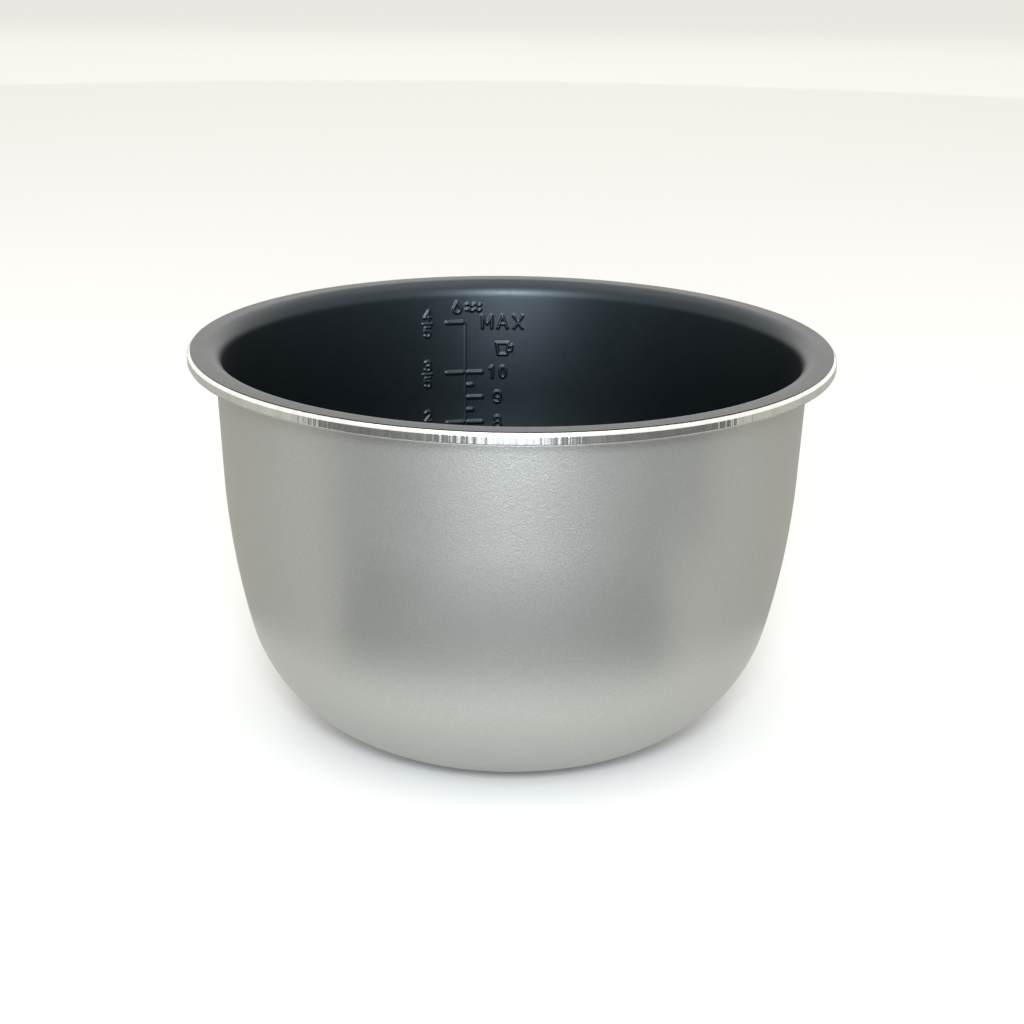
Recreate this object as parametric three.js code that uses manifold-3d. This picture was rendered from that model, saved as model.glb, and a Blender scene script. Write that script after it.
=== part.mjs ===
// Inner pot of a rice cooker, in millimetres, +Z up. It stands on its base ring, and the origin is the middle
// of that ring.
//
// The pot is one pressed aluminium shell with two bonded coats. A black non-stick lining covers the inside
// and the flange's top, and carries the raised level marks. A silver outer coat covers the outside and the
// flange's underside. The metal stays bare at the turned flange edge and on the turned base face that meets
// the heater plate. The level marks face -Y, on the inside of the +Y wall.

import * as THREE from "three";
import { mergeVertices } from "three/addons/utils/BufferGeometryUtils.js";
import Module from "manifold-3d";

// The pot as a whole.
const potHeight = 150;
const rimRadius = 120;
const wallThickness = 2;

// Flange and mouth.
const flangeWidth = 10.3; // from the wall's outside to the flange's edge
const flangeThickness = 4.1;
const mouthRadius = 6.2; // rounding from the flange's top into the wall
const neckRadius = 1.5; // hollow rounding under the flange
const edgeBevel = 1; // turned bevel at the top of the flange's edge
const edgeBreak = 0.3; // small bevel at the bottom of the flange's edge

// Wall, from the flange down: a drafted straight, a wide belly arc and a corner arc that ends level at the
// base.
const draft = THREE.MathUtils.degToRad(2.9);
const bellyTurn = THREE.MathUtils.degToRad(11.6);
const bellyRadius = 289;
const cornerRadius = 61;

// Base.
const baseRingWidth = 10;
const dishDepth = 0.8; // the middle of the base is domed up, clear of what the pot stands on

// Coats. A hair-thin bond line parts each coat from the metal.
const liningThickness = 0.25;
const outerCoatThickness = 0.25;
const bondLine = 0.02;

// Level marks: the cup column hangs right of a thin spine, and the fifths column left of it.
const lowestCup = 2;
const highestCup = 10;
const highestCupDrop = 38.6; // the highest cup line below the rim
const lowestCupHeight = 25.4; // the lowest cup line above the base
const markRelief = 0.45; // how far a mark stands out of the lining
const markReach = 1.5; // how far a mark's block reaches past the lining on each side before it is trimmed
const tickWidth = 1.7;
const cupTickLength = 7.2;
const halfTickLength = 3.1;
const fifthTickLength = 8.2;
const tickGap = 0.5; // from the spine to a tick
const spineWidth = 0.8;
const strokeWidth = 1.1; // of figures and signs
const figureHeight = 5.6;
const figurePitch = 4.6; // from one figure to the next
const figureOffset = 13.6; // from the spine to the middle of a cup figure
const fifthOffset = 16.4; // from the spine to the middle of a fifths figure
const fifthFigureHeight = 5;
const fractionBarLength = 4.6;
const signDrop = 10.8; // middle of the water sign below the rim
const signHeight = 5.4;
const signPitch = 7; // from the drop to the waves
const wordOffset = 15.8; // from the spine to the middle of the word
const wordHeight = 6.2;
const wordPitch = 6.6;
const cupSignDrop = 28.6; // middle of the cup sign below the rim

// Facets.
const turnSteps = 56;
const cornerSteps = 8;
const bareSteps = 1; // of the corner, left bare by the outer coat around the turned base
const bellySteps = 3;
const mouthSteps = 4;
const neckSteps = 2;
const dishSteps = 2;
const bowSteps = 8; // in a full round of a figure

// Heights and radii that follow from the sizes above.
const liningOffset = wallThickness + bondLine;
const shellTop = potHeight - liningThickness - bondLine;
const underside = shellTop - flangeThickness;
const bodyRadius = rimRadius - flangeWidth;
const bellyEnd = draft + bellyTurn;
const cornerDrop = cornerRadius * (1 - Math.sin(bellyEnd));
const bellyDrop = bellyRadius * (Math.sin(bellyEnd) - Math.sin(draft));
const straightEnd = bellyDrop + cornerDrop; // height where the straight meets the belly
const straightRadius = bodyRadius - (underside - straightEnd) * Math.tan(draft);
const bellyCentre = new THREE.Vector2(
  straightRadius - bellyRadius * Math.cos(draft),
  straightEnd + bellyRadius * Math.sin(draft),
);
const cornerCentre = new THREE.Vector2(
  bellyCentre.x + (bellyRadius - cornerRadius) * Math.cos(bellyEnd),
  cornerRadius,
);
const baseRadius = cornerCentre.x;
const dishRadius = baseRadius - baseRingWidth;
const dishSphere = (dishRadius ** 2 + dishDepth ** 2) / (2 * dishDepth);
const cupPitch = (potHeight - highestCupDrop - lowestCupHeight) / (highestCup - lowestCup);
const topLineHeight = cupHeight(highestCup + 2); // four fifths

const wasm = await Module();
wasm.setup();

// Points of an arc about a centre, ends included. Angles run from +r towards +z.
function arc(centre, radius, from, to, steps) {
  return Array.from({ length: steps + 1 }, (_, i) => {
    const angle = from + ((to - from) * i) / steps;
    return new THREE.Vector2(
      centre.x + radius * Math.cos(angle),
      centre.y + radius * Math.sin(angle),
    );
  });
}

// The domed middle of the base, from the axis to the base ring, for a face that lies offset above the
// outside.
function dish(offset) {
  const centre = new THREE.Vector2(0, dishDepth - dishSphere);
  const edge = Math.asin(dishRadius / dishSphere);
  return arc(
    centre,
    dishSphere + offset,
    Math.PI / 2,
    Math.PI / 2 - edge,
    dishSteps,
  );
}

// Corner and belly of a face that lies offset inside the pot's outside, from the base up to the straight.
function bowl(offset) {
  return [
    ...arc(
      cornerCentre,
      cornerRadius - offset,
      -Math.PI / 2,
      -bellyEnd,
      cornerSteps,
    ),
    ...arc(
      bellyCentre,
      bellyRadius - offset,
      -bellyEnd,
      -draft,
      bellySteps,
    ).slice(1),
  ];
}

// Radius of the straight wall's face at a height, for a face that lies offset inside the outside.
function straightRadiusAt(height, offset) {
  return (
    bodyRadius -
    (underside - height) * Math.tan(draft) -
    offset / Math.cos(draft)
  );
}

// The mouth's rounding, from the wall up to the flange's top, for a face that stands out of the shell by a
// cover.
function mouth(cover) {
  const height = shellTop - mouthRadius;
  const wallFace = straightRadiusAt(height, wallThickness);
  const centre = new THREE.Vector2(
    wallFace + mouthRadius / Math.cos(draft),
    height,
  );
  return arc(
    centre,
    mouthRadius + cover,
    Math.PI - draft,
    Math.PI / 2,
    mouthSteps,
  );
}

// The hollow rounding under the flange, from the wall up to the underside, for a face that stands out by a
// cover.
function neck(cover) {
  const height = underside - neckRadius;
  const wallFace = straightRadiusAt(height, 0);
  const centre = new THREE.Vector2(
    wallFace + neckRadius / Math.cos(draft),
    height,
  );
  return arc(
    centre,
    neckRadius - cover,
    Math.PI - draft,
    Math.PI / 2,
    neckSteps,
  );
}

// A closed round solid from an outline that runs up its outside and back down its inside.
function turned(outline) {
  return new THREE.LatheGeometry(outline, turnSteps).rotateX(Math.PI / 2);
}

// The pressed aluminium pot.
function shell() {
  const edge = [
    new THREE.Vector2(rimRadius - edgeBreak, underside),
    new THREE.Vector2(rimRadius, underside + edgeBreak),
    new THREE.Vector2(rimRadius, shellTop - edgeBevel),
    new THREE.Vector2(rimRadius - edgeBevel, shellTop),
  ];
  const inside = [
    ...dish(wallThickness),
    ...bowl(wallThickness),
    ...mouth(0),
  ].reverse();
  return turned([...dish(0), ...bowl(0), ...neck(0), ...edge, ...inside]);
}

// The silver coat, from the turned base face up to the edge of the flange's underside.
function outerCoat() {
  const face = (cover) => [
    ...bowl(-cover).slice(bareSteps),
    ...neck(cover),
    new THREE.Vector2(rimRadius - edgeBreak, underside - cover),
  ];
  const outline = [
    ...face(bondLine + outerCoatThickness),
    ...face(bondLine).reverse(),
  ];
  return turned([...outline, outline[0]]);
}

// The inside of the pot from the axis up to the flange's top, for a face that stands out of the metal by a
// cover.
function insideFace(cover) {
  return [
    ...dish(wallThickness + cover),
    ...bowl(wallThickness + cover),
    ...mouth(cover),
  ];
}

// The plain lining, without its marks.
function plainLining() {
  const face = (cover) => [
    ...insideFace(cover),
    new THREE.Vector2(rimRadius - edgeBevel, shellTop + cover),
  ];
  return turned([
    ...face(bondLine),
    ...face(bondLine + liningThickness).reverse(),
  ]);
}

// The pot's inside as a solid, bounded by a face that stands out of the metal by a cover.
function insideSpace(cover) {
  return solidOf(
    turned([...insideFace(cover), new THREE.Vector2(0, shellTop + cover)]),
  );
}

// A mesh with shared corners as a solid.
function solidOf(geometry) {
  const bare = geometry.index ? geometry.toNonIndexed() : geometry.clone();
  bare.deleteAttribute("normal");
  bare.deleteAttribute("uv");
  const merged = mergeVertices(bare, 1e-4);
  return new wasm.Manifold(
    new wasm.Mesh({
      numProp: 3,
      vertProperties: merged.attributes.position.array,
      triVerts: new Uint32Array(merged.index.array),
    }),
  );
}

// A solid as a mesh.
function geometryOf(solid) {
  const mesh = solid.getMesh();
  return new THREE.BufferGeometry()
    .setAttribute(
      "position",
      new THREE.BufferAttribute(mesh.vertProperties, 3),
    )
    .setIndex(new THREE.BufferAttribute(mesh.triVerts, 1));
}

// Points of a line set off sideways from a polyline, positive to its left, with mitred corners.
function sideLine(points, distance, closed) {
  const last = points.length - 1;
  const course = (from, to) => points[to].clone().sub(points[from]).normalize();
  return points.map((point, i) => {
    const before = i > 0 ? i - 1 : last;
    const after = i < last ? i + 1 : 0;
    const into = i > 0 || closed ? course(before, i) : course(i, after);
    const out = i < last || closed ? course(i, after) : into;
    const mitre = new THREE.Vector2(-into.y - out.y, into.x + out.x).normalize();
    const spread = Math.max(0.5, mitre.x * -into.y + mitre.y * into.x);
    return point.clone().addScaledVector(mitre, distance / spread);
  });
}

// The flat outline of a pen stroke along a polyline. A closed polyline leaves its middle open.
function strokeShape(points, width, closed) {
  const left = sideLine(points, width / 2, closed);
  const right = sideLine(points, -width / 2, closed);
  if (!closed) return new THREE.Shape([...right, ...left.reverse()]);
  const shape = new THREE.Shape(right);
  shape.holes.push(new THREE.Path(left));
  return shape;
}

// A closed oval, in parts of a figure's height.
function oval(x, y, radiusX, radiusY) {
  const { points } = bow(x, y, radiusX, radiusY, 0, 360);
  return { points: points.slice(0, -1), closed: true };
}

// An open bow of an oval between two angles in degrees, in parts of a figure's height.
function bow(x, y, radiusX, radiusY, from, to) {
  const share = Math.abs(to - from) / 360;
  const steps = Math.max(2, Math.round(share * bowSteps));
  const points = Array.from({ length: steps + 1 }, (_, i) => {
    const angle = THREE.MathUtils.degToRad(from + ((to - from) * i) / steps);
    return new THREE.Vector2(
      x + radiusX * Math.cos(angle),
      y + radiusY * Math.sin(angle),
    );
  });
  return { points, closed: false };
}

// An open line through points given as x and y in turn.
function line(...coordinates) {
  const points = [];
  for (let i = 0; i < coordinates.length; i += 2)
    points.push(new THREE.Vector2(coordinates[i], coordinates[i + 1]));
  return { points, closed: false };
}

// A closed line through points given as x and y in turn.
function loop(...coordinates) {
  return { points: line(...coordinates).points, closed: true };
}

// Pen strokes of figures, signs and capitals, in parts of their height, centred on the origin.
const strokes = {
  0: [oval(0, 0, 0.25, 0.42)],
  1: [line(-0.14, 0.26, 0.02, 0.42), line(0.02, 0.5, 0.02, -0.5)],
  2: [
    bow(0, 0.18, 0.25, 0.24, 170, -30),
    line(0.2, 0.05, -0.24, -0.42),
    line(-0.32, -0.42, 0.32, -0.42),
  ],
  3: [bow(0, 0.21, 0.23, 0.21, 150, -90), bow(0, -0.21, 0.25, 0.21, 90, -150)],
  4: [line(0.12, -0.5, 0.12, 0.46, -0.28, -0.18), line(-0.34, -0.2, 0.34, -0.2)],
  5: [line(0.28, 0.42, -0.2, 0.42, -0.23, 0.02), bow(-0.02, -0.15, 0.26, 0.27, 140, -140)],
  6: [oval(0, -0.17, 0.25, 0.25), line(-0.23, -0.1, 0.02, 0.26, 0.16, 0.46)],
  7: [line(-0.32, 0.42, 0.26, 0.42, -0.1, -0.5)],
  8: [oval(0, 0.22, 0.21, 0.2), oval(0, -0.21, 0.25, 0.21)],
  9: [oval(0, 0.17, 0.25, 0.25), line(0.23, 0.1, -0.02, -0.26, -0.16, -0.46)],
  M: [
    line(-0.34, -0.5, -0.34, 0.3),
    line(-0.4, 0.44, 0, -0.1, 0.4, 0.44),
    line(0.34, 0.3, 0.34, -0.5),
  ],
  A: [line(-0.34, -0.5, 0, 0.44, 0.34, -0.5), line(-0.24, -0.16, 0.24, -0.16)],
  X: [line(-0.3, -0.48, 0.3, 0.48), line(-0.3, 0.48, 0.3, -0.48)],
  drop: [loop(0, 0.5, -0.3, -0.08, -0.24, -0.34, 0, -0.46, 0.24, -0.34, 0.3, -0.08)],
  waves: [
    line(-0.66, 0.1, -0.34, 0.34, 0, 0.1, 0.34, 0.34, 0.66, 0.1),
    line(-0.66, -0.36, -0.34, -0.12, 0, -0.36, 0.34, -0.12, 0.66, -0.36),
  ],
  cup: [
    loop(-0.42, 0.42, -0.3, -0.42, 0.3, -0.42, 0.42, 0.42),
    line(0.38, 0.22, 0.68, 0.22, 0.64, -0.12, 0.32, -0.12),
  ],
};

// Where the lining's face is at a height: its radius, and how far it slopes back from upright.
function liningFaceAt(height) {
  const offset = liningOffset + liningThickness;
  for (const [centre, radius, steepest, levelest] of [
    [bellyCentre, bellyRadius - offset, draft, bellyEnd],
    [cornerCentre, cornerRadius - offset, bellyEnd, Math.PI / 2],
  ]) {
    const slope = Math.asin(
      THREE.MathUtils.clamp((centre.y - height) / radius, 0, 1),
    );
    if (slope > steepest && slope <= levelest)
      return { radius: centre.x + radius * Math.cos(slope), slope };
  }
  return { radius: straightRadiusAt(height, offset), slope: draft };
}

// A block in a stroke's outline, through the lining's face. Its middle is at a height, and across is its
// distance right of the spine.
function strokeBlock(shape, across, height) {
  const face = liningFaceAt(height);
  const turn = across / face.radius;
  const right = new THREE.Vector3(Math.cos(turn), -Math.sin(turn), 0);
  const outward = new THREE.Vector3(Math.sin(turn), Math.cos(turn), 0);
  const inward = outward
    .clone()
    .multiplyScalar(-Math.cos(face.slope))
    .setZ(Math.sin(face.slope));
  const up = new THREE.Vector3().crossVectors(inward, right);
  const foot = outward
    .multiplyScalar(face.radius)
    .setZ(height)
    .addScaledVector(inward, -markReach);
  const placed = new THREE.Matrix4()
    .makeBasis(right, up, inward)
    .setPosition(foot);
  const block = new THREE.ExtrudeGeometry(shape, {
    depth: 2 * markReach,
    bevelEnabled: false,
  });
  return solidOf(block.applyMatrix4(placed));
}

// The blocks of a figure, sign or capital of a given height.
function glyphBlocks(name, size, across, height) {
  return strokes[name].map(({ points, closed }) => {
    const scaled = points.map((point) =>
      point.clone().multiplyScalar(size - strokeWidth),
    );
    return strokeBlock(
      strokeShape(scaled, strokeWidth, closed),
      across,
      height,
    );
  });
}

// The block of a level line that runs from one distance across to another.
function tickBlock(from, to, height) {
  const half = (to - from) / 2;
  const bar = strokeShape(line(-half, 0, half, 0).points, tickWidth, false);
  return strokeBlock(bar, (from + to) / 2, height);
}

// The height of a cup line, whole or half.
function cupHeight(count) {
  return lowestCupHeight + (count - lowestCup) * cupPitch;
}

// Cup lines with their figures, and a short line at each half cup.
function cupMarks() {
  const marks = [];
  for (let count = lowestCup; count <= highestCup; count += 1) {
    const height = cupHeight(count);
    marks.push(tickBlock(tickGap, tickGap + cupTickLength, height));
    [...String(count)].forEach((figure, i, all) => {
      const across = figureOffset + (i - (all.length - 1) / 2) * figurePitch;
      marks.push(...glyphBlocks(figure, figureHeight, across, height));
    });
    if (count < highestCup)
      marks.push(
        tickBlock(tickGap, tickGap + halfTickLength, cupHeight(count + 0.5)),
      );
  }
  return marks;
}

// Fifths lines, two cups apart, each with its fraction. Three fifths is level with the highest cup line.
function fifthMarks() {
  const marks = [];
  for (let fifth = 1; fifth <= 4; fifth += 1) {
    const height = cupHeight(highestCup + 2 * (fifth - 3));
    const rise = (fifthFigureHeight + strokeWidth) / 2 + tickGap;
    const bar = line(-fractionBarLength / 2, 0, fractionBarLength / 2, 0);
    marks.push(
      tickBlock(-tickGap - fifthTickLength, -tickGap, height),
      ...glyphBlocks(String(fifth), fifthFigureHeight, -fifthOffset, height + rise),
      ...glyphBlocks("5", fifthFigureHeight, -fifthOffset, height - rise),
      strokeBlock(strokeShape(bar.points, strokeWidth, false), -fifthOffset, height),
    );
  }
  return marks;
}

// The thin spine between the columns, as an upright fin through the wall.
function spineFin() {
  const fin = new THREE.BoxGeometry(
    spineWidth,
    rimRadius - baseRadius,
    topLineHeight - lowestCupHeight + tickWidth,
  );
  fin.translate(
    0,
    (rimRadius + baseRadius) / 2,
    (topLineHeight + lowestCupHeight) / 2,
  );
  return solidOf(fin);
}

// The signs over the columns: water over the fifths, the word MAX at the top line and a cup over the cup
// figures.
function headMarks() {
  const word = [..."MAX"].flatMap((letter, i) =>
    glyphBlocks(letter, wordHeight, wordOffset + (i - 1) * wordPitch, topLineHeight),
  );
  return [
    ...glyphBlocks("drop", signHeight, -signPitch / 2, potHeight - signDrop),
    ...glyphBlocks("waves", signHeight, signPitch / 2, potHeight - signDrop),
    ...word,
    ...glyphBlocks("cup", wordHeight, wordOffset, potHeight - cupSignDrop),
  ];
}

// The black lining with its raised marks. Their blocks are trimmed to the relief on the inside, and halfway
// through the lining at the root, so they don't reach the metal.
function lining() {
  const blocks = [...cupMarks(), ...fifthMarks(), ...headMarks(), spineFin()];
  const marks = blocks
    .reduce((whole, block) => whole.add(block))
    .intersect(insideSpace(bondLine + liningThickness / 2))
    .subtract(insideSpace(bondLine + liningThickness + markRelief));
  return geometryOf(solidOf(plainLining()).add(marks));
}

// Bare turned aluminium.
const aluminium = new THREE.MeshStandardMaterial({
  color: 0xd5d8d6,
  roughness: 0.25,
  metalness: 1,
});
// Black non-stick coating with a dull sheen.
const blackNonStick = new THREE.MeshStandardMaterial({
  color: 0x14191e,
  roughness: 0.42,
  metalness: 0,
});
// Satin silver paint with a fine grain.
const silverPaint = new THREE.MeshStandardMaterial({
  color: 0xa9aca6,
  roughness: 0.5,
  metalness: 0.6,
});

const pot = new THREE.Group();
for (const [name, geometry, material] of [
  ["pot_shell", shell(), aluminium],
  ["nonstick_lining", lining(), blackNonStick],
  ["outer_coat", outerCoat(), silverPaint],
]) {
  const mesh = new THREE.Mesh(geometry, material);
  mesh.name = name;
  pot.add(mesh);
}

export default pot;
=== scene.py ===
"""Inner pot of a rice cooker: an aluminium shell, a black non-stick lining and a satin silver outer coat."""

import logging
import math
from dataclasses import dataclass, field
from enum import Enum
from typing import Any, Callable, Mapping, Optional, Sequence, Union

import bpy
import numpy as np
from mathutils import Matrix, Vector


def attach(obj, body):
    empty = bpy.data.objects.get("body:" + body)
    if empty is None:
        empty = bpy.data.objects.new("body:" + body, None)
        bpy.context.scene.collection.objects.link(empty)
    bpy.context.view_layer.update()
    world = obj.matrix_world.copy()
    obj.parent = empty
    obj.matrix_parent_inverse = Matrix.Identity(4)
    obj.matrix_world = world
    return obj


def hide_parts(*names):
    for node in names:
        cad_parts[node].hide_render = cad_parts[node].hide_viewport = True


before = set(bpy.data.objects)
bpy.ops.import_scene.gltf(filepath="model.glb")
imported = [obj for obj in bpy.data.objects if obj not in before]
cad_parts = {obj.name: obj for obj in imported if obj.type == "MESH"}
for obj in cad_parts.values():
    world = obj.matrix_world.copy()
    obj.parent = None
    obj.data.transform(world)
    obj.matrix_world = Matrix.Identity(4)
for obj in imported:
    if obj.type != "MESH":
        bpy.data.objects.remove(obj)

LOG = logging.getLogger("inner_pot")
MM = 0.001
WELD = 1e-6
SAME_PLACE = 1e-7

Point = tuple[float, float]
Triple = tuple[float, float, float]


# ---------------------------------------------------------------- shader expressions


class Value:
    """A shader socket that takes part in Python arithmetic."""

    def __init__(self, nodes: "ShaderNodes", socket: bpy.types.NodeSocket) -> None:
        """Wraps an output socket.

        Args:
            nodes: The material's node maker.
            socket: The output to wrap.
        """
        self.nodes = nodes
        self.socket = socket

    def __add__(self, other: "Operand") -> "Value":
        """Returns self + other."""
        return self.nodes.maths("ADD", self, other)

    def __radd__(self, other: "Operand") -> "Value":
        """Returns other + self."""
        return self.nodes.maths("ADD", other, self)

    def __sub__(self, other: "Operand") -> "Value":
        """Returns self - other."""
        return self.nodes.maths("SUBTRACT", self, other)

    def __rsub__(self, other: "Operand") -> "Value":
        """Returns other - self."""
        return self.nodes.maths("SUBTRACT", other, self)

    def __mul__(self, other: "Operand") -> "Value":
        """Returns self * other."""
        return self.nodes.maths("MULTIPLY", self, other)

    def __rmul__(self, other: "Operand") -> "Value":
        """Returns other * self."""
        return self.nodes.maths("MULTIPLY", other, self)


Operand = Union[Value, float]


class ShaderNodes:
    """Makes the nodes of one material."""

    def __init__(self, name: str) -> None:
        """Starts an empty material.

        Args:
            name: The material's name.
        """
        self.material = bpy.data.materials.new(name)
        self.material.use_nodes = True
        self.tree = self.material.node_tree
        self.tree.nodes.clear()

    def add(
        self,
        kind: str,
        settings: Optional[Mapping[str, Any]] = None,
        inputs: Optional[Mapping[Union[str, int], Any]] = None,
    ) -> bpy.types.Node:
        """Adds a node.

        Args:
            kind: Blender's type name of the node.
            settings: The node's own properties, set first.
            inputs: Socket name or number to a value or a link.

        Returns:
            The new node.
        """
        node = self.tree.nodes.new(kind)
        for key, value in (settings or {}).items():
            setattr(node, key, value)
        for key, value in (inputs or {}).items():
            if isinstance(value, Value):
                value = value.socket
            if isinstance(value, bpy.types.NodeSocket):
                self.tree.links.new(value, node.inputs[key])
            else:
                node.inputs[key].default_value = value
        return node

    def value(self, node: bpy.types.Node, output: Union[str, int] = 0) -> Value:
        """Returns one of a node's outputs as a value for expressions."""
        return Value(self, node.outputs[output])

    def maths(self, operation: str, *values: Operand) -> Value:
        """Adds a Math node.

        Args:
            operation: Blender's name of the operation.
            values: Its inputs in order.

        Returns:
            The node's result.
        """
        return self.value(self.add("ShaderNodeMath", {"operation": operation}, dict(enumerate(values))))

    def place(self) -> bpy.types.NodeSocket:
        """Returns the Object coordinates."""
        return self.add("ShaderNodeTexCoord").outputs["Object"]

    def axes(self, place: bpy.types.NodeSocket) -> tuple[Value, Value, Value]:
        """Returns the three numbers of a place."""
        parts = self.add("ShaderNodeSeparateXYZ", inputs={0: place})
        return self.value(parts, 0), self.value(parts, 1), self.value(parts, 2)

    def stretched(self, place: bpy.types.NodeSocket, scale: Triple) -> bpy.types.NodeSocket:
        """Returns a place with its axes scaled."""
        return self.add("ShaderNodeMapping", inputs={"Vector": place, "Scale": scale}).outputs[0]

    def noise(self, place: bpy.types.NodeSocket, size: float, detail: float = 2.0) -> Value:
        """Adds a noise.

        Args:
            place: Where it is read.
            size: The width of its features in metres.
            detail: How many finer layers are added.

        Returns:
            A number from 0 to 1, about 0.5 in the middle.
        """
        inputs = {"Vector": place, "Scale": 1.0 / size, "Detail": detail}
        return self.value(self.add("ShaderNodeTexNoise", inputs=inputs), "Fac")

    def ramp(
        self, amount: Operand, low: float, high: float, start: float = 0.0, end: float = 1.0
    ) -> Value:
        """Maps a range of numbers smoothly to another.

        Args:
            amount: The number to map.
            low: Where the range starts.
            high: Where the range ends.
            start: The result at low and below.
            end: The result at high and above.

        Returns:
            The mapped number.
        """
        inputs = {"Value": amount, "From Min": low, "From Max": high, "To Min": start, "To Max": end}
        return self.value(self.add("ShaderNodeMapRange", {"interpolation_type": "SMOOTHSTEP"}, inputs))

    def blend(self, factor: Operand, first: Any, second: Any) -> bpy.types.NodeSocket:
        """Mixes two colours.

        Args:
            factor: 0 for the first colour, 1 for the second.
            first: A colour of four numbers, or a link.
            second: A colour of four numbers, or a link.

        Returns:
            The mixed colour.
        """
        node = self.add("ShaderNodeMix", {"data_type": "RGBA"}, {0: factor, 6: first, 7: second})
        return node.outputs[2]

    def bump(
        self, height: Value, distance: float, strength: float, under: Any = None
    ) -> bpy.types.NodeSocket:
        """Adds a bump.

        Args:
            height: The relief, from 0 to 1.
            distance: The relief's depth in metres.
            strength: How much of it is used.
            under: The normal that it adds to, if any.

        Returns:
            The bumped normal.
        """
        inputs: dict[Union[str, int], Any] = {"Height": height, "Distance": distance, "Strength": strength}
        if under is not None:
            inputs["Normal"] = under
        return self.add("ShaderNodeBump", inputs=inputs).outputs[0]

    def finish(self, inputs: Mapping[Union[str, int], Any]) -> bpy.types.Material:
        """Adds the Principled shader and the output.

        Args:
            inputs: The shader's sockets and their values or links.

        Returns:
            The finished material.
        """
        shader = self.add("ShaderNodeBsdfPrincipled", inputs=inputs)
        self.add("ShaderNodeOutputMaterial", inputs={"Surface": shader.outputs[0]})
        return self.material


def rgba(colour: Triple, gain: float = 1.0) -> tuple[float, float, float, float]:
    """Returns a colour with full alpha, brightened by a gain."""
    return (colour[0] * gain, colour[1] * gain, colour[2] * gain, 1.0)


# ---------------------------------------------------------------- finishes


@dataclass(frozen=True)
class SilverPaint:
    """Satin silver stoving paint with fine metal flake over a faint orange peel."""

    name: str = "silver_paint"
    colour: Triple = (0.425, 0.42, 0.395)
    flake_size: float = 0.6 * MM
    flake_depth: float = 0.044 * MM
    peel_size: float = 1.4 * MM
    peel_depth: float = 0.02 * MM
    cloud_size: float = 38 * MM
    contrast: float = 0.05
    roughness: float = 0.365

    def material(self) -> bpy.types.Material:
        """Builds the paint.

        Returns:
            The material.
        """
        nodes = ShaderNodes(self.name)
        place = nodes.place()
        flake = nodes.noise(place, self.flake_size, 1.0)
        peel = nodes.noise(place, self.peel_size)
        cloud = nodes.noise(place, self.cloud_size)
        glint = nodes.ramp(flake, 0.3, 0.7)
        dark, light = rgba(self.colour, 1 - self.contrast), rgba(self.colour, 1 + self.contrast)
        roughness = self.roughness + 0.06 * (cloud - 0.5) + 0.03 * (flake - 0.5)
        coarse = nodes.bump(peel, self.peel_depth, 0.8)
        fine = nodes.bump(flake, self.flake_depth, 0.9, coarse)
        return nodes.finish(
            {
                "Base Color": nodes.blend(glint, dark, light),
                "Metallic": 0.86,
                "Roughness": roughness.socket,
                "Coat Weight": 0.06,
                "Coat Roughness": 0.3,
                "Normal": fine,
            }
        )


@dataclass(frozen=True)
class BlackNonStick:
    """Semi-matt black non-stick coating with a sprayed texture and a painted cold tint on its reflections,
    standing in for cool light.
    """

    name: str = "black_nonstick"
    colour: Triple = (0.0006, 0.0018, 0.0024)
    # Painted cold tint on the reflections, standing in for cool light.
    sheen: Triple = (0.76, 0.9, 1.0)
    grain_size: float = 0.35 * MM
    grain_depth: float = 0.006 * MM
    spray_size: float = 2.2 * MM
    spray_depth: float = 0.01 * MM
    cloud_size: float = 30 * MM
    fleck_gain: float = 2.6
    roughness: float = 0.4

    def material(self) -> bpy.types.Material:
        """Builds the coating.

        Returns:
            The material.
        """
        nodes = ShaderNodes(self.name)
        place = nodes.place()
        grain = nodes.noise(place, self.grain_size, 1.0)
        spray = nodes.noise(place, self.spray_size)
        cloud = nodes.noise(place, self.cloud_size)
        fleck = nodes.ramp(grain, 0.62, 0.8)
        colour = nodes.blend(fleck, rgba(self.colour), rgba(self.colour, self.fleck_gain))
        roughness = self.roughness + 0.06 * (cloud - 0.5) + 0.08 * (spray - 0.5)
        coarse = nodes.bump(spray, self.spray_depth, 0.7)
        fine = nodes.bump(grain, self.grain_depth, 0.7, coarse)
        return nodes.finish(
            {
                "Base Color": colour,
                "Metallic": 0.0,
                "Roughness": roughness.socket,
                "Specular Tint": rgba(self.sheen),
                "Normal": fine,
            }
        )


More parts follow.
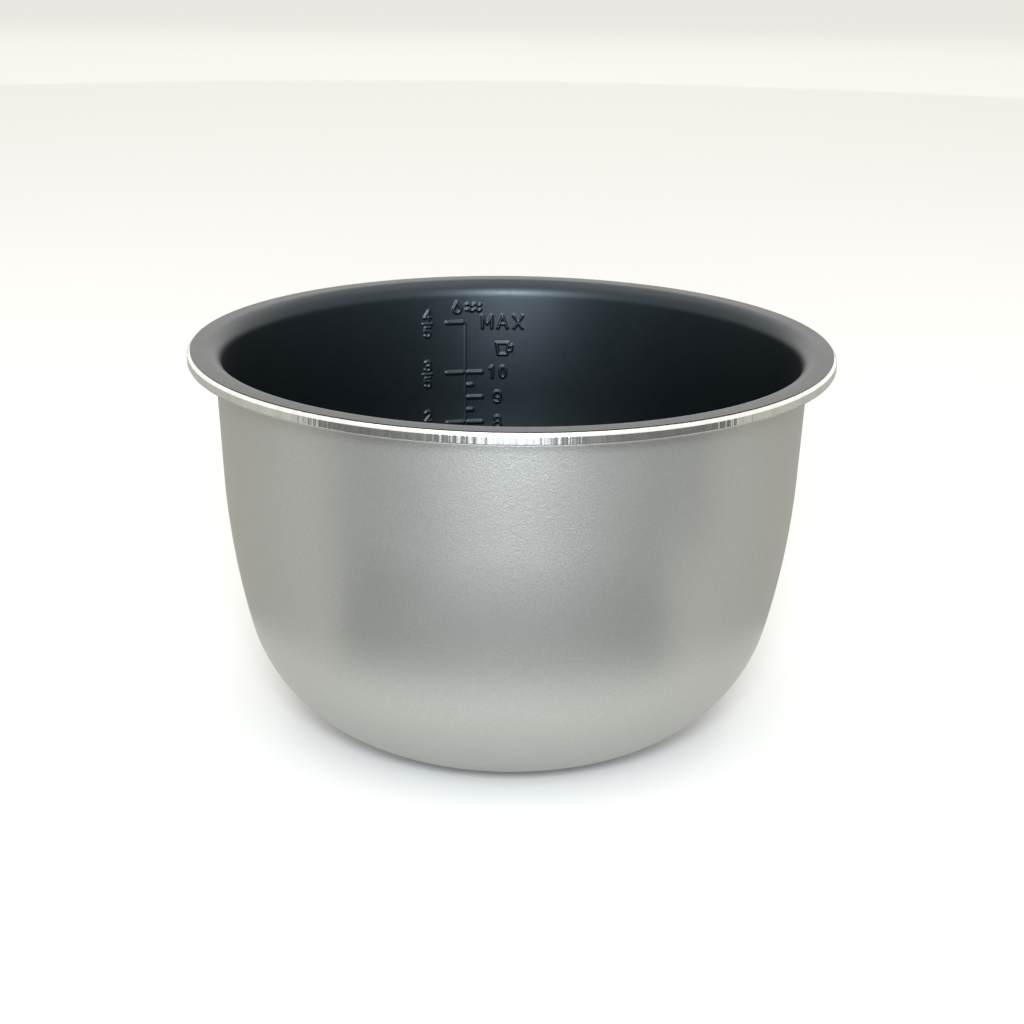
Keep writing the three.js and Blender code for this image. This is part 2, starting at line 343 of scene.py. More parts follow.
@dataclass(frozen=True)
class TurnedAluminium:
    """Bare turned aluminium: fine rings under the base, upright chatter marks on the flange's edge."""

    name: str = "bare_aluminium"
    colour: Triple = (0.8, 0.8, 0.78)
    groove_pitch: float = 0.32 * MM
    groove_share: float = 0.03
    chatter_size: float = 1.6 * MM
    chatter_depth: float = 0.22 * MM
    streak_size: float = 5 * MM
    wear_size: float = 9 * MM
    upright: Triple = (1.0, 1.0, 0.04)
    roughness: float = 0.18
    base_height: float = 6 * MM

    def material(self) -> bpy.types.Material:
        """Builds the metal.

        Returns:
            The material.
        """
        nodes = ShaderNodes(self.name)
        place = nodes.place()
        x, y, z = nodes.axes(place)
        reach = nodes.maths("SQRT", x * x + y * y)
        on_base = nodes.ramp(z, self.base_height, self.base_height * 1.5, 1.0, 0.0)
        groove = nodes.maths("SINE", reach * (2 * math.pi / self.groove_pitch)) * 0.5 + 0.5
        drawn = nodes.stretched(place, self.upright)
        chatter = nodes.noise(drawn, self.chatter_size, 1.5)
        streak = nodes.noise(drawn, self.streak_size)
        wear = nodes.noise(place, self.wear_size, 3.0)
        relief = self.groove_share * on_base * groove + (1.0 - on_base) * chatter
        tone = nodes.ramp(streak, 0.3, 0.7)
        colour = nodes.blend(tone, rgba(self.colour, 0.93), rgba(self.colour, 1.04))
        roughness = self.roughness + 0.06 * (chatter - 0.5) + 0.06 * (wear - 0.5)
        return nodes.finish(
            {
                "Base Color": colour,
                "Metallic": 1.0,
                "Roughness": roughness.socket,
                "Anisotropic": 0.82,
                "Anisotropic Rotation": 0.25,
                "Normal": nodes.bump(relief, self.chatter_depth, 0.9),
            }
        )


@dataclass(frozen=True)
class PaleFloor:
    """Plain matt pale floor."""

    name: str = "studio_floor"
    colour: Triple = (0.6, 0.59, 0.575)

    def material(self) -> bpy.types.Material:
        """Builds the floor's paint.

        Returns:
            The material.
        """
        nodes = ShaderNodes(self.name)
        return nodes.finish({"Base Color": rgba(self.colour), "Roughness": 0.9})


# ---------------------------------------------------------------- outlines


def arc(centre: Point, radius: float, start: float, end: float, steps: int) -> list[Point]:
    """Makes the points of an arc.

    Args:
        centre: The arc's centre, as radius and height.
        radius: The arc's radius.
        start: The first angle, from outward towards up.
        end: The last angle.
        steps: How many chords it has.

    Returns:
        The points, ends included.
    """
    angles = (start + (end - start) * i / steps for i in range(steps + 1))
    return [(centre[0] + radius * math.cos(a), centre[1] + radius * math.sin(a)) for a in angles]


def joined(*runs: Sequence[Point]) -> list[Point]:
    """Chains runs of points and leaves out a point that repeats the one before it."""
    points: list[Point] = []
    for point in (p for run in runs for p in run):
        if not points or math.dist(points[-1], point) > SAME_PLACE:
            points.append(point)
    return points


@dataclass
class PotForm:
    """The pot's outline, from the centre of its base to the edge of its flange."""

    height: float = 150 * MM
    rim_radius: float = 120 * MM
    flange_width: float = 10.3 * MM
    flange_thickness: float = 4.1 * MM
    wall: float = 2 * MM
    mouth_radius: float = 6.2 * MM
    neck_radius: float = 1.5 * MM
    draft: float = math.radians(2.9)
    belly_turn: float = math.radians(11.6)
    belly_radius: float = 289 * MM
    corner_radius: float = 61 * MM
    ring_width: float = 10 * MM
    dish_depth: float = 0.8 * MM
    cover: float = 0.27 * MM
    row: float = 2.5 * MM
    dish_steps: int = 10
    corner_steps: int = 34
    belly_steps: int = 24
    mouth_steps: int = 14
    neck_steps: int = 8

    def __post_init__(self) -> None:
        """Works out the heights and centres that follow from the sizes."""
        self.metal_top = self.height - self.cover
        self.underside = self.metal_top - self.flange_thickness
        self.body_radius = self.rim_radius - self.flange_width
        self.belly_end = self.draft + self.belly_turn
        corner_drop = self.corner_radius * (1 - math.sin(self.belly_end))
        belly_drop = self.belly_radius * (math.sin(self.belly_end) - math.sin(self.draft))
        self.straight_end = belly_drop + corner_drop
        straight = self.body_radius - (self.underside - self.straight_end) * math.tan(self.draft)
        self.belly_centre = (
            straight - self.belly_radius * math.cos(self.draft),
            self.straight_end + self.belly_radius * math.sin(self.draft),
        )
        reach = self.belly_radius - self.corner_radius
        self.corner_centre = (
            self.belly_centre[0] + reach * math.cos(self.belly_end),
            self.corner_radius,
        )
        self.base_radius = self.corner_centre[0]
        self.dish_radius = self.base_radius - self.ring_width
        self.dish_sphere = (self.dish_radius**2 + self.dish_depth**2) / (2 * self.dish_depth)

    def straight_radius(self, height: float, inset: float) -> float:
        """Returns the radius of the straight wall's face that lies an inset inside the outside."""
        fall = (self.underside - height) * math.tan(self.draft)
        return self.body_radius - fall - inset / math.cos(self.draft)

    def dish(self, inset: float) -> list[Point]:
        """Returns the domed middle of the base, from the axis to the ring, an inset above the outside."""
        centre = (0.0, self.dish_depth - self.dish_sphere)
        edge = math.asin(self.dish_radius / self.dish_sphere)
        top = math.pi / 2
        return arc(centre, self.dish_sphere + inset, top, top - edge, self.dish_steps)

    def bowl(self, inset: float, start_slope: float = 0.0) -> list[Point]:
        """Makes the corner, the belly and the straight of a face.

        Args:
            inset: How far the face lies inside the outside.
            start_slope: Where on the corner it starts, as the corner's slope above level.

        Returns:
            The points from the base up to below the neck or the mouth.
        """
        corner = arc(
            self.corner_centre,
            self.corner_radius - inset,
            start_slope - math.pi / 2,
            -self.belly_end,
            self.corner_steps,
        )
        belly = arc(
            self.belly_centre,
            self.belly_radius - inset,
            -self.belly_end,
            -self.draft,
            self.belly_steps,
        )
        low = belly[-1][1]
        high = self.underside - 2 * self.neck_radius
        rows = math.ceil((high - low) / self.row)
        heights = (low + (high - low) * i / rows for i in range(1, rows + 1))
        straight = [(self.straight_radius(h, inset), h) for h in heights]
        return [*corner, *belly, *straight]

    def mouth(self, cover: float) -> list[Point]:
        """Returns the mouth's rounding, for a face that stands out of the metal by a cover."""
        height = self.metal_top - self.mouth_radius
        face = self.straight_radius(height, self.wall)
        centre = (face + self.mouth_radius / math.cos(self.draft), height)
        radius = self.mouth_radius + cover
        return arc(centre, radius, math.pi - self.draft, math.pi / 2, self.mouth_steps)

    def neck(self, cover: float) -> list[Point]:
        """Returns the hollow rounding under the flange, for a face that stands out by a cover."""
        height = self.underside - self.neck_radius
        face = self.straight_radius(height, 0.0)
        centre = (face + self.neck_radius / math.cos(self.draft), height)
        radius = self.neck_radius - cover
        return arc(centre, radius, math.pi - self.draft, math.pi / 2, self.neck_steps)

    def inside(self, cover: float) -> list[Point]:
        """Returns the inside from the axis up to the flange's top, for a face that stands out by a cover."""
        inset = self.wall + cover
        return joined(self.dish(inset), self.bowl(inset), self.mouth(cover))

    def face_at(self, height: float, inset: float) -> tuple[float, float]:
        """Finds a face's place at a height.

        Args:
            height: The height above the base plane.
            inset: How far the face lies inside the outside.

        Returns:
            The radius there, and how far the wall slopes back from upright.
        """
        spans = (
            (self.belly_centre, self.belly_radius - inset, self.draft, self.belly_end),
            (self.corner_centre, self.corner_radius - inset, self.belly_end, math.pi / 2),
        )
        for centre, radius, steep, level in spans:
            slope = math.asin(min(1.0, max(0.0, (centre[1] - height) / radius)))
            if steep < slope <= level:
                return centre[0] + radius * math.cos(slope), slope
        return self.straight_radius(height, inset), self.draft


# ---------------------------------------------------------------- modelling steps


def deselect_all() -> None:
    """Leaves every object unselected."""
    if bpy.context.mode != "OBJECT":
        bpy.ops.object.mode_set(mode="OBJECT")
    bpy.ops.object.select_all(action="DESELECT")


def turn_outline(name: str, outline: Sequence[Point], steps: int) -> bpy.types.Object:
    """Draws an outline by extruding a point along it, and spins it into a closed round solid.

    Args:
        name: The piece's name.
        outline: Radius and height of each corner. It starts and ends on the axis, or closes on itself.
        steps: How many steps a full turn has.

    Returns:
        The solid, at the origin.
    """
    deselect_all()
    start = outline[0]
    bpy.ops.mesh.primitive_plane_add(size=MM, location=(start[0], 0.0, start[1]))
    piece = bpy.context.active_object
    piece.name = name
    piece.data.name = name
    bpy.ops.object.transform_apply(location=True, rotation=True, scale=True)
    bpy.ops.object.mode_set(mode="EDIT")
    bpy.ops.mesh.select_all(action="SELECT")
    bpy.ops.mesh.merge(type="CENTER")
    for before, after in zip(outline, outline[1:]):
        step = (after[0] - before[0], 0.0, after[1] - before[1])
        bpy.ops.mesh.extrude_region_move(TRANSFORM_OT_translate={"value": step})
    bpy.ops.mesh.select_all(action="SELECT")
    bpy.ops.mesh.remove_doubles(threshold=WELD)
    bpy.ops.mesh.select_all(action="SELECT")
    bpy.ops.mesh.spin(steps=steps, angle=2 * math.pi, center=(0, 0, 0), axis=(0, 0, 1))
    bpy.ops.mesh.select_all(action="SELECT")
    bpy.ops.mesh.remove_doubles(threshold=WELD)
    bpy.ops.mesh.select_all(action="SELECT")
    bpy.ops.mesh.normals_make_consistent(inside=False)
    bpy.ops.object.mode_set(mode="OBJECT")
    return piece


def smooth(piece: bpy.types.Object, angle: float) -> None:
    """Shades a piece smooth, apart from edges sharper than an angle."""
    deselect_all()
    piece.select_set(True)
    bpy.context.view_layer.objects.active = piece
    bpy.ops.object.shade_smooth_by_angle(angle=angle)


def hand_in(piece: bpy.types.Object, node: str, material: bpy.types.Material) -> None:
    """Dresses a piece and ties it to its solid.

    Args:
        piece: The finished piece.
        node: The solid that it stands for.
        material: Its finish.
    """
    piece.data.materials.clear()
    piece.data.materials.append(material)
    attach(piece, "root")
    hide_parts(node)
    LOG.info("%s: %d faces", piece.name, len(piece.data.polygons))


# ---------------------------------------------------------------- level marks


@dataclass(frozen=True)
class Stroke:
    """A pen stroke on the developed wall, with across right of the spine and rise above the base."""

    points: tuple[Point, ...]
    width: float
    relief: float

    def distance(self, across: np.ndarray, rise: np.ndarray) -> np.ndarray:
        """Measures how far places lie from the stroke's middle line.

        Args:
            across: Where the places are, across the wall.
            rise: Where the places are, up the wall.

        Returns:
            The distances.
        """
        best = np.full(across.shape, np.inf)
        for (x0, y0), (x1, y1) in zip(self.points, self.points[1:]):
            dx, dy = x1 - x0, y1 - y0
            share = ((across - x0) * dx + (rise - y0) * dy) / (dx * dx + dy * dy)
            share = np.clip(share, 0.0, 1.0)
            best = np.minimum(best, np.hypot(across - x0 - share * dx, rise - y0 - share * dy))
        return best


def bow(x: float, y: float, across: float, up: float, start: float, end: float) -> list[Point]:
    """Returns points along an oval bow, in parts of a figure's height, between two angles in degrees."""
    steps = max(3, round(abs(end - start) / 15))
    turns = (math.radians(start + (end - start) * i / steps) for i in range(steps + 1))
    return [(x + across * math.cos(t), y + up * math.sin(t)) for t in turns]


PEN_LINES: dict[str, list[list[Point]]] = {
    "0": [bow(0, 0, 0.25, 0.5, 0, 360)],
    "1": [[(-0.16, 0.3), (0.04, 0.5), (0.04, -0.5)]],
    "2": [[*bow(0, 0.22, 0.27, 0.28, 165, -35), (-0.27, -0.5), (0.3, -0.5)]],
    "3": [bow(0, 0.24, 0.25, 0.26, 150, -90), bow(0, -0.24, 0.28, 0.26, 90, -150)],
    "4": [[(0.14, -0.5), (0.14, 0.5), (-0.3, -0.2), (0.34, -0.2)]],
    "5": [[(0.26, 0.5), (-0.2, 0.5), (-0.24, 0.06), *bow(0, -0.18, 0.28, 0.32, 130, -145)]],
    "6": [[*bow(0.02, 0.16, 0.26, 0.34, 60, 180), *bow(0, -0.2, 0.27, 0.3, 180, 540)]],
    "7": [[(-0.3, 0.5), (0.28, 0.5), (-0.08, -0.5)]],
    "8": [bow(0, 0.25, 0.22, 0.25, 0, 360), bow(0, -0.25, 0.27, 0.25, 0, 360)],
    "9": [[*bow(-0.02, -0.16, 0.26, 0.34, -120, 0), *bow(0, 0.2, 0.27, 0.3, 0, 360)]],
    "M": [[(-0.38, -0.5), (-0.38, 0.5), (0, -0.16), (0.38, 0.5), (0.38, -0.5)]],
    "A": [[(-0.38, -0.5), (0, 0.5), (0.38, -0.5)], [(-0.24, -0.16), (0.24, -0.16)]],
    "X": [[(-0.34, -0.5), (0.34, 0.5)], [(-0.34, 0.5), (0.34, -0.5)]],
    "drop": [[(0, 0.56), *bow(0, -0.16, 0.33, 0.34, 40, -220), (0, 0.56)]],
    "waves": [
        [(-0.66 + 0.11 * i, y + 0.11 * math.sin(i * math.pi / 3)) for i in range(13)]
        for y in (0.24, -0.24)
    ],
    "cup": [
        [(-0.48, 0.46), (-0.34, -0.46), (0.34, -0.46), (0.48, 0.46), (-0.48, 0.46)],
        [(0.44, 0.26), (0.76, 0.26), (0.7, -0.16), (0.38, -0.16)],
    ],
}


@dataclass
class LevelMarks:
    """The raised scale inside the wall: cups right of a thin spine, and fifths of the pot left of it."""

    form: PotForm
    lowest_cup: int = 2
    highest_cup: int = 10
    cups_per_fifth: int = 2
    fifth_at_highest: int = 3
    highest_drop: float = 38.6 * MM
    lowest_height: float = 25.4 * MM
    relief: float = 0.42 * MM
    shoulder: float = 0.42 * MM
    tick_width: float = 1.5 * MM
    tick_gap: float = 0.4 * MM
    cup_tick: float = 7.2 * MM
    half_tick: float = 3.1 * MM
    fifth_tick: float = 8.2 * MM
    spine_width: float = 0.5 * MM
    spine_relief: float = 0.16 * MM
    pen_width: float = 0.95 * MM
    figure_height: float = 5.6 * MM
    figure_pitch: float = 4.6 * MM
    figure_offset: float = 13.6 * MM
    fifth_offset: float = 16.4 * MM
    fifth_height: float = 5 * MM
    bar_length: float = 4.6 * MM
    bar_gap: float = 0.5 * MM
    sign_drop: float = 10.8 * MM
    sign_height: float = 5.4 * MM
    sign_pitch: float = 7 * MM
    word_offset: float = 15.8 * MM
    word_height: float = 6.2 * MM
    word_pitch: float = 6.6 * MM
    cup_sign_drop: float = 28.6 * MM
    strokes: list[Stroke] = field(default_factory=list)

    def __post_init__(self) -> None:
        """Draws the whole scale."""
        span = self.form.height - self.highest_drop - self.lowest_height
        self.cup_pitch = span / (self.highest_cup - self.lowest_cup)
        self.top_line = self.cup_height(self.highest_cup + self.cups_per_fifth)
        self.draw_cups()
        self.draw_fifths()
        self.draw_spine()
        self.draw_signs()

    def cup_height(self, cups: float) -> float:
        """Returns the height of a cup line, whole or half."""
        return self.lowest_height + (cups - self.lowest_cup) * self.cup_pitch

    def draw_line(
        self, start: float, end: float, height: float, width: float, relief: Optional[float] = None
    ) -> None:
        """Adds a level line.

        Args:
            start: Where it starts, right of the spine.
            end: Where it ends.
            height: Its height above the base.
            width: Its width.
            relief: How far it stands out, if not as the other marks.
        """
        ends = ((start + width / 2, height), (end - width / 2, height))
        self.strokes.append(Stroke(ends, width, self.relief if relief is None else relief))

    def draw_sign(self, sign: str, size: float, across: float, height: float) -> None:
        """Adds a figure, capital or sign.

        Args:
            sign: Its name among the pen lines.
            size: Its height over all.
            across: Its middle, right of the spine.
            height: Its middle above the base.
        """
        scale = size - self.pen_width
        for line in PEN_LINES[sign]:
            points = tuple((across + x * scale, height + y * scale) for x, y in line)
            self.strokes.append(Stroke(points, self.pen_width, self.relief))

    def draw_cups(self) -> None:
        """Adds a line and a figure at each cup, and a short line at each half cup."""
        for cups in range(self.lowest_cup, self.highest_cup + 1):
            height = self.cup_height(cups)
            self.draw_line(self.tick_gap, self.tick_gap + self.cup_tick, height, self.tick_width)
            figures = str(cups)
            for i, figure in enumerate(figures):
                shift = (i - (len(figures) - 1) / 2) * self.figure_pitch
                self.draw_sign(figure, self.figure_height, self.figure_offset + shift, height)
            if cups < self.highest_cup:
                half = self.cup_height(cups + 0.5)
                self.draw_line(self.tick_gap, self.tick_gap + self.half_tick, half, self.tick_width)

    def draw_fifths(self) -> None:
        """Adds the fifths lines, two cups apart, with their fractions."""
        rise = (self.fifth_height + self.pen_width) / 2 + self.bar_gap
        for fifth in range(1, 5):
            past = self.cups_per_fifth * (fifth - self.fifth_at_highest)
            height = self.cup_height(self.highest_cup + past)
            self.draw_line(-self.tick_gap - self.fifth_tick, -self.tick_gap, height, self.tick_width)
            self.draw_sign(str(fifth), self.fifth_height, -self.fifth_offset, height + rise)
            self.draw_sign("5", self.fifth_height, -self.fifth_offset, height - rise)
            start = -self.fifth_offset - self.bar_length / 2
            self.draw_line(start, start + self.bar_length, height, self.pen_width)

    def draw_spine(self) -> None:
        """Adds the thin upright line between the columns."""
        ends = ((0.0, self.lowest_height), (0.0, self.top_line))
        self.strokes.append(Stroke(ends, self.spine_width, self.spine_relief))

    def draw_signs(self) -> None:
        """Adds the water sign over the fifths, the word at the top line and the cup over the cup figures."""
        for i, letter in enumerate("MAX"):
            across = self.word_offset + (i - 1) * self.word_pitch
            self.draw_sign(letter, self.word_height, across, self.top_line)
        sign_height = self.form.height - self.sign_drop
        self.draw_sign("drop", self.sign_height, -self.sign_pitch / 2, sign_height)
        self.draw_sign("waves", self.sign_height, self.sign_pitch / 2, sign_height)
        cup_height = self.form.height - self.cup_sign_drop
        self.draw_sign("cup", self.word_height, self.word_offset, cup_height)

    def relief_at(self, across: np.ndarray, height: np.ndarray) -> np.ndarray:
        """Works out how far the lining stands out at places on the wall.

        Args:
            across: How far right of the spine they are.
            height: How far above the base they are.

        Returns:
            The relief at each place.
        """
        relief = np.zeros(across.shape)
        for stroke in self.strokes:
            reach = stroke.width / 2 + self.shoulder
            xs, ys = zip(*stroke.points)
            near = np.flatnonzero(
                (across > min(xs) - reach)
                & (across < max(xs) + reach)
                & (height > min(ys) - reach)
                & (height < max(ys) + reach)
            )
            if near.size:
                gap = stroke.distance(across[near], height[near])
                share = np.clip((reach - gap) / (2 * self.shoulder), 0.0, 1.0)
                rise = stroke.relief * share * share * (3 - 2 * share)
                relief[near] = np.maximum(relief[near], rise)
        return relief


# ---------------------------------------------------------------- the pot's pieces


@dataclass
class PotShell:
    """The pressed aluminium shell, bare at the turned flange edge and at the turned base."""

    form: PotForm
    steps: int = 256
    edge_bevel: float = 1 * MM
    edge_break: float = 0.3 * MM
    smooth_angle: float = math.radians(28)
    break_round: float = 0.12 * MM
    bevel_round: float = 0.3 * MM
    support: float = 0.04 * MM

    def flange_edge(self) -> list[Point]:
        """Returns the turned edge from the underside to the top, each corner slightly rounded."""
        rim, low, top = self.form.rim_radius, self.form.underside, self.form.metal_top
        corners = [
            (rim - self.edge_break, low),
            (rim, low + self.edge_break),
            (rim, top - self.edge_bevel),
            (rim - self.edge_bevel, top),
        ]
        sizes = [self.break_round, self.break_round, self.bevel_round, self.bevel_round]
        ends = [(rim - 2 * self.edge_bevel, low), *corners, (rim - 2 * self.edge_bevel, top)]
        points: list[Point] = []
        for before, corner, after, size in zip(ends, ends[1:], ends[2:], sizes):
            points.extend(self.rounded(before, corner, after, size))
        return points

    def rounded(self, before: Point, corner: Point, after: Point, size: float) -> list[Point]:
        """Rounds a corner.

        Args:
            before: The point before the corner.
            corner: The corner.
            after: The point after it.
            size: How far from the corner the rounding starts.

        Returns:
            Points of a small curve in the corner's place, and one on the flat at each end of it.
        """
        tip = Vector(corner)
        back = (Vector(before) - tip).normalized()
        ahead = (Vector(after) - tip).normalized()
        flat = size + self.support
        middle = tip + (back + ahead) * size / 4
        places = (tip + back * flat, tip + back * size, middle, tip + ahead * size, tip + ahead * flat)
        return [tuple(place) for place in places]

    def build(self) -> bpy.types.Object:
        """Builds the shell.

        Returns:
            The finished piece.
        """
        form = self.form
        outside = joined(form.dish(0.0), form.bowl(0.0), form.neck(0.0), self.flange_edge())
        outline = joined(outside, form.inside(0.0)[::-1])
        piece = turn_outline("turned_shell", outline, self.steps)
        smooth(piece, self.smooth_angle)
        hand_in(piece, "pot_shell", TurnedAluminium().material())
        return piece


@dataclass
class OuterCoat:
    """The silver coat, from the turned base up to the edge of the flange's underside."""

    form: PotForm
    steps: int = 256
    thickness: float = 0.25 * MM
    bond: float = 0.02 * MM
    smooth_angle: float = math.radians(40)
    end_slope: float = math.radians(9.5)
    end_inset: float = 0.35 * MM

    def face(self, cover: float) -> list[Point]:
        """Returns one face of the coat, from the base up, standing out of the metal by a cover."""
        form = self.form
        edge = (form.rim_radius - self.end_inset, form.underside - cover)
        return joined(form.bowl(-cover, self.end_slope), form.neck(cover), [edge])

    def build(self) -> bpy.types.Object:
        """Builds the coat.

        Returns:
            The finished piece.
        """
        outside = self.face(self.bond + self.thickness)
        outline = joined(outside, self.face(self.bond)[::-1], [outside[0]])
        piece = turn_outline("silver_outer_coat", outline, self.steps)
        smooth(piece, self.smooth_angle)
        hand_in(piece, "outer_coat", SilverPaint().material())
        return piece


@dataclass
class NonStickLining:
    """The black lining, from the floor's middle over the mouth to the flange's bevel, with its scale."""

    form: PotForm
    marks: LevelMarks
    steps: int = 256
    bond: float = 0.02 * MM
    smooth_angle: float = math.radians(60)
    end_inset: float = 1.02 * MM
    cuts: int = 9

    def face(self, cover: float) -> list[Point]:
        """Returns one face of the lining, standing out of the metal by a cover."""
        form = self.form
        edge = (form.rim_radius - self.end_inset, form.metal_top + cover)
        return joined(form.inside(cover), [edge])

    def select_marked_faces(self, piece: bpy.types.Object) -> None:
        """Selects the faces of the inside that a mark stands on.

        Args:
            piece: The plain lining.
        """
        mesh = piece.data
        count = len(mesh.polygons)
        centres = np.empty(count * 3)
        normals = np.empty(count * 3)
        mesh.polygons.foreach_get("center", centres)
        mesh.polygons.foreach_get("normal", normals)
        centres, normals = centres.reshape(-1, 3), normals.reshape(-1, 3)
        inward = (centres[:, :2] * normals[:, :2]).sum(axis=1) < 0
        across = np.hypot(centres[:, 0], centres[:, 1]) * np.arctan2(centres[:, 0], centres[:, 1])
        chosen = np.zeros(count, dtype=bool)
        step = self.form.row / 2
        for dx in (-step, 0.0, step):
            for dy in (-step, 0.0, step):
                chosen |= self.marks.relief_at(across + dx, centres[:, 2] + dy) > 0
        mesh.polygons.foreach_set("select", chosen & inward)

    def raise_marks(self, piece: bpy.types.Object) -> None:
        """Puts the fine mesh on the true curve of the wall and raises the marks out of it.

        Args:
            piece: The lining, with the vertices of its fine part selected.
        """
        chosen = [v for v in piece.data.vertices if v.select]
        places = np.array([tuple(v.co) for v in chosen])
        turns = np.arctan2(places[:, 0], places[:, 1])
        inset = self.form.wall + self.form.cover
        faces = np.array([self.form.face_at(height, inset) for height in places[:, 2]])
        relief = self.marks.relief_at(faces[:, 0] * turns, places[:, 2])
        for vertex, turn, (radius, slope), rise in zip(chosen, turns, faces, relief):
            reach = radius - rise * math.cos(slope)
            lift = rise * math.sin(slope)
            vertex.co = (reach * math.sin(turn), reach * math.cos(turn), vertex.co.z + lift)

    def build(self) -> bpy.types.Object:
        """Builds the lining.

        Returns:
            The finished piece.
        """
        outer = self.face(self.bond)
        inner = self.face(self.form.cover)
        piece = turn_outline("nonstick_lining_skin", joined(outer, inner[::-1]), self.steps)
        deselect_all()
        bpy.context.view_layer.objects.active = piece
        piece.select_set(True)
        bpy.ops.object.mode_set(mode="EDIT")
        bpy.ops.mesh.select_mode(type="FACE")
        bpy.ops.mesh.select_all(action="DESELECT")
        bpy.ops.object.mode_set(mode="OBJECT")
        self.select_marked_faces(piece)
        bpy.ops.object.mode_set(mode="EDIT")
        bpy.ops.mesh.subdivide(number_cuts=self.cuts, quadcorner="INNERVERT")
        bpy.ops.object.mode_set(mode="OBJECT")
        self.raise_marks(piece)
        smooth(piece, self.smooth_angle)
        hand_in(piece, "nonstick_lining", BlackNonStick().material())
        return piece


# ---------------------------------------------------------------- studio


@dataclass(frozen=True)
class SoftLight:
    """A rectangular light, placed and aimed as seen from the camera."""

    place: Triple
    aim: Triple
    width: float
    height: float
    power: float
    colour: Triple


class Lamp(Enum):
    """The studio's soft lights."""

    CAMERA = SoftLight((0.0, -0.85, 0.5), (0.0, 0.0, 0.12), 0.15, 0.15, 8.0, (0.84, 0.92, 1.0))
    WINDOW = SoftLight((0.0, -2.6, 0.42), (0.0, 0.0, 0.12), 1.2, 0.6, 58.0, (0.84, 0.92, 1.0))
    FRONT = SoftLight((0.0, -2.0, 1.5), (0.0, 0.0, 0.1), 1.6, 0.9, 24.0, (0.88, 0.95, 1.0))
    TOP = SoftLight((0.0, 0.2, 1.8), (0.0, 0.0, 0.1), 1.8, 1.6, 10.0, (1.0, 1.0, 0.98))
    BACK = SoftLight((0.0, 2.4, 0.9), (0.0, 0.0, 0.1), 2.4, 1.2, 4.5, (1.0, 0.95, 0.86))


class Felt(Enum):
    """Matt felts that give the metal something darker to reflect, by colour: painted dark reflections and
    painted shade that only reflections see.
    """

    # Darker than the floor: painted contact shade under the pot, seen only in reflections.
    PALE = (0.455, 0.45, 0.43)
    # Painted dark reflection of a darker room before the pot.
    BLACK = (0.02, 0.02, 0.018)
    # Painted dimmer surroundings, seen only in reflections.
    GREY = (0.26, 0.255, 0.235)

    def material(self) -> bpy.types.Material:
        """Builds the felt.

        Returns:
            The material.
        """
        nodes = ShaderNodes(f"{self.name.lower()}_felt")
        return nodes.finish({"Base Color": rgba(self.value), "Roughness": 0.9})


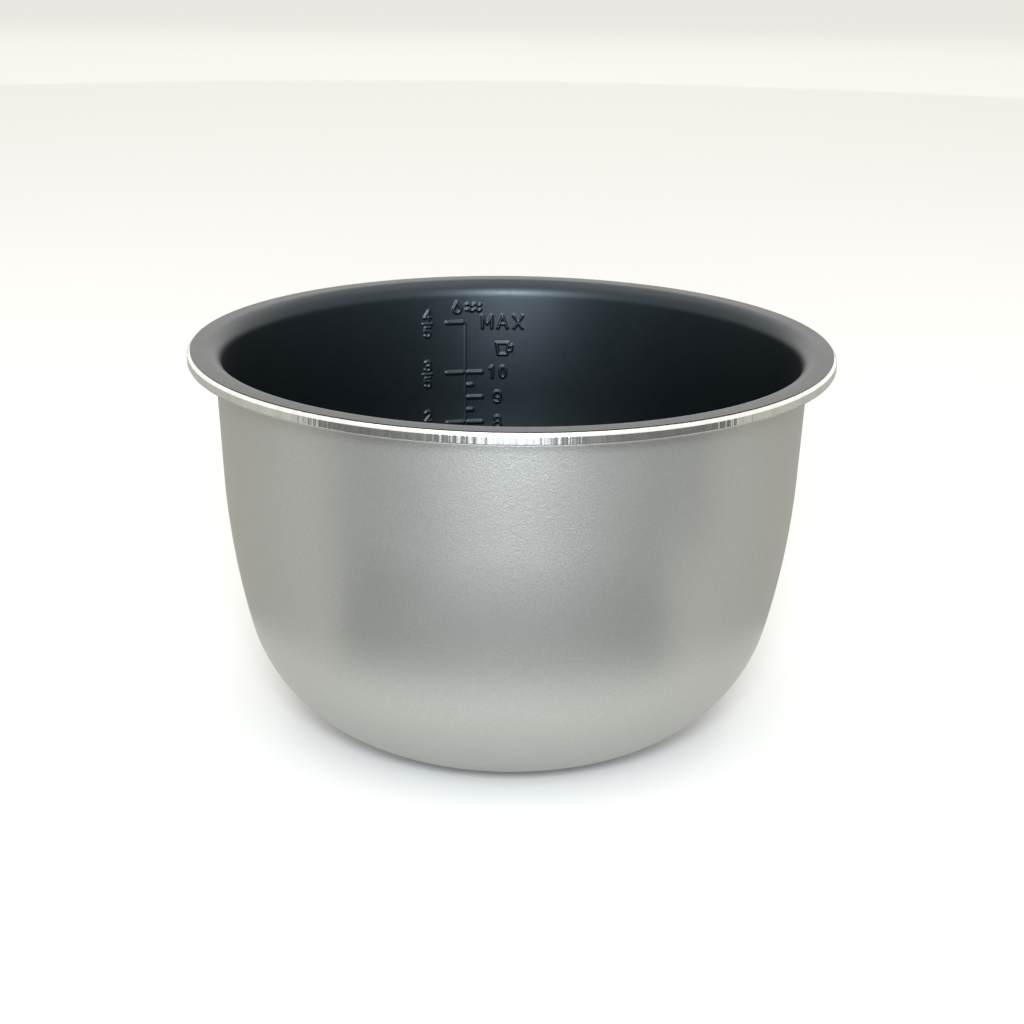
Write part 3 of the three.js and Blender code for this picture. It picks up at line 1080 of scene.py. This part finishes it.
@dataclass
class Studio:
    """Pale floor, soft lights, felt that paints darker reflections and shade into the metal, and the camera.
    """

    camera_turn: float = math.radians(-10.7)
    camera_reach: float = 784.6 * MM
    camera_height: float = 343 * MM
    camera_pitch: float = math.radians(18.29)
    camera_roll: float = math.radians(0.76)
    lens: float = 76.0
    shift: float = 0.0021
    floor_radius: float = 6.0
    floor_steps: int = 96
    # Sizes and fans of the felt that paints dark reflections and shade into the metal.
    felt_steps: int = 120
    felt_inner: float = 0.155
    felt_middle: float = 0.33
    felt_outer: float = 2.0
    near_fan: tuple[float, float] = (math.radians(-54), math.radians(54))
    far_fan: tuple[float, float] = (math.radians(-64), math.radians(73))
    world_strength: float = 1.25
    world_colour: Triple = (1.0, 0.99, 0.95)

    def __post_init__(self) -> None:
        """Sets the turn from the camera's view to the pot's frame."""
        self.turn = Matrix.Rotation(self.camera_turn, 4, "Z")

    def build_floor(self) -> None:
        """Lays the floor under the pot."""
        deselect_all()
        bpy.ops.mesh.primitive_circle_add(
            vertices=self.floor_steps, radius=self.floor_radius, fill_type="NGON"
        )
        floor = bpy.context.active_object
        floor.name = "studio_floor"
        floor.data.materials.append(PaleFloor().material())

    def felt_at(self, across: float, depth: float) -> Felt:
        """Chooses the felt for a place on the floor.

        Args:
            across: How far right of the pot the place is, seen from the camera.
            depth: How far behind the pot it is.

        Returns:
            Pale grey under the pot as painted shade, black in a fan before it and grey elsewhere as painted
            dark reflections.
        """
        reach = math.hypot(across, depth)
        if reach < self.felt_inner / 2:
            return Felt.PALE
        left, right = self.near_fan if reach < self.felt_middle else self.far_fan
        return Felt.BLACK if left < math.atan2(across, -depth) < right else Felt.GREY

    def build_felt(self) -> None:
        """Lays the felt, which only reflections see: painted dark reflections and painted shade under the
        pot.
        """
        deselect_all()
        bpy.ops.mesh.primitive_circle_add(
            vertices=self.felt_steps, radius=self.felt_outer, fill_type="NGON", location=(0, 0, MM)
        )
        felt = bpy.context.active_object
        felt.name = "studio_felt"
        bpy.ops.object.mode_set(mode="EDIT")
        bpy.ops.mesh.select_all(action="SELECT")
        bpy.ops.mesh.inset(thickness=self.felt_outer - self.felt_middle)
        bpy.ops.mesh.inset(thickness=self.felt_middle - self.felt_inner)
        bpy.ops.object.mode_set(mode="OBJECT")
        kinds = list(Felt)
        for kind in kinds:
            felt.data.materials.append(kind.material())
        for face in felt.data.polygons:
            across, depth, _ = self.turn.inverted() @ face.center
            face.material_index = kinds.index(self.felt_at(across, depth))
        # Hidden from the camera, shadows and diffuse light: the felt is only a painted reflection.
        felt.visible_camera = felt.visible_shadow = felt.visible_diffuse = False

    def build_lights(self) -> None:
        """Hangs the soft lights and sets the pale surroundings."""
        for lamp in Lamp:
            soft = lamp.value
            light = bpy.data.lights.new(lamp.name.lower(), "AREA")
            light.shape = "RECTANGLE"
            light.size, light.size_y = soft.width, soft.height
            light.energy, light.color = soft.power, soft.colour
            holder = bpy.data.objects.new(light.name, light)
            stand, target = self.turn @ Vector(soft.place), self.turn @ Vector(soft.aim)
            holder.location = stand
            holder.rotation_euler = (target - stand).to_track_quat("-Z", "Y").to_euler()
            holder.visible_camera = False
            bpy.context.scene.collection.objects.link(holder)
        world = bpy.data.worlds.new("studio")
        world.use_nodes = True
        backdrop = world.node_tree.nodes["Background"]
        backdrop.inputs["Color"].default_value = rgba(self.world_colour)
        backdrop.inputs["Strength"].default_value = self.world_strength
        bpy.context.scene.world = world

    def build_camera(self) -> None:
        """Sets the camera in front of the pot, looking down into its mouth."""
        data = bpy.data.cameras.new("camera")
        data.sensor_width = 36.0
        data.lens = self.lens
        data.shift_x = self.shift
        camera = bpy.data.objects.new("camera", data)
        stand = Matrix.Translation((0.0, -self.camera_reach, self.camera_height))
        pitch = Matrix.Rotation(math.pi / 2 - self.camera_pitch, 4, "X")
        roll = Matrix.Rotation(self.camera_roll, 4, "Z")
        camera.matrix_world = self.turn @ stand @ pitch @ roll
        bpy.context.scene.collection.objects.link(camera)
        bpy.context.scene.camera = camera
        bpy.context.scene.view_settings.view_transform = "Standard"

    def build(self) -> None:
        """Builds the whole studio."""
        self.build_floor()
        self.build_felt()
        self.build_lights()
        self.build_camera()


def corners(box: tuple[Vector, Vector]) -> list[list[float]]:
    """Returns a box's two corners as plain lists."""
    return [list(box[0]), list(box[1])]


def main() -> None:
    """Builds the pot and the studio."""
    logging.basicConfig(level=logging.INFO, format="%(name)s: %(message)s")
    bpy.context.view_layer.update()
    form = PotForm()
    parts: tuple[Callable[[], bpy.types.Object], ...] = (
        PotShell(form).build,
        OuterCoat(form).build,
        NonStickLining(form, LevelMarks(form)).build,
    )
    for build in parts:
        piece = build()
        LOG.info("built %s", piece.name)
    Studio().build()


if __name__ == "__main__":
    main()
